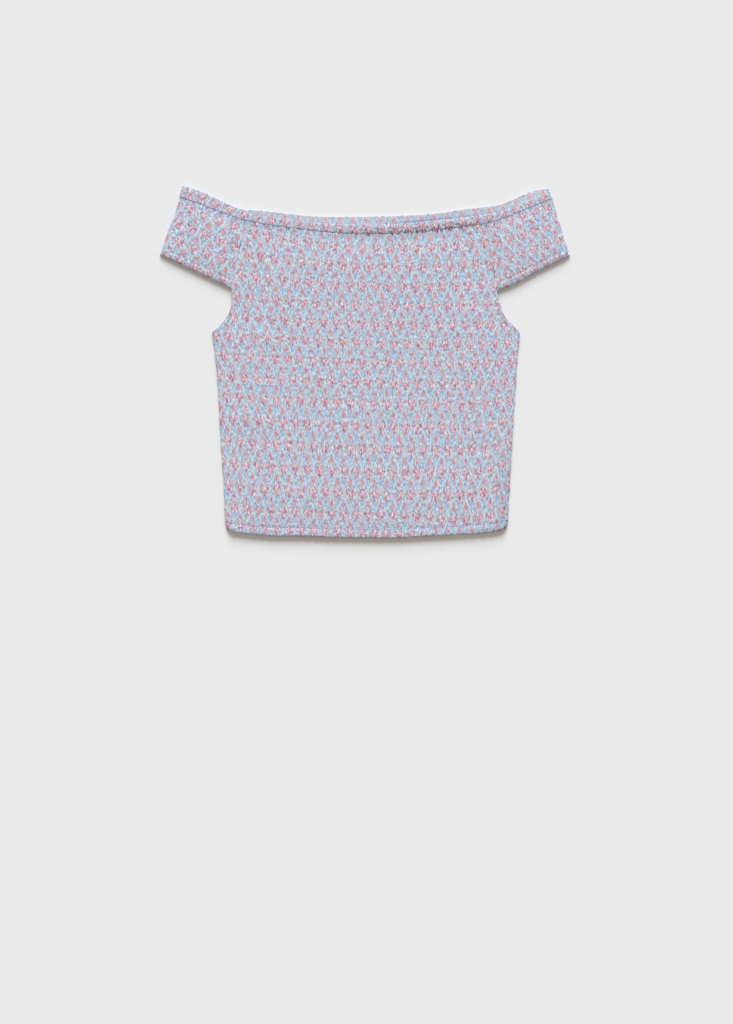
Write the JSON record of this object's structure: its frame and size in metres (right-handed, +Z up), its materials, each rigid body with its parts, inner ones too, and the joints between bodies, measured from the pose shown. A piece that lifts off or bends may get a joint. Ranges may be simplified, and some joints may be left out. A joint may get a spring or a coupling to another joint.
{
  "type": "off-shoulder top, laid flat",
  "caption": "Short off-shoulder top of smocked printed jersey with small flat sleeves and a gathered neck casing, laid flat, front up.",
  "frame": {"origin": "middle of the flat underside, on the surface that the top lies on", "axes": "+X from sleeve to sleeve, to the right of someone who looks down on the front; +Y from the hem up to the neckline; +Z up, out of the front"},
  "size_m": [0.4619, 0.3957, 0.0055],
  "materials": {
    "smocked_print": "matt smocked jersey, light blue with a small pink and blue floral repeat",
    "casing_print": "matt gathered jersey, the same print"
  },
  "bodies": {
    "root": {"front": "smocked_print", "back": "smocked_print", "sleeve_left": "smocked_print", "sleeve_right": "smocked_print", "neck_casing": "casing_print"}
  },
  "joints": []
}
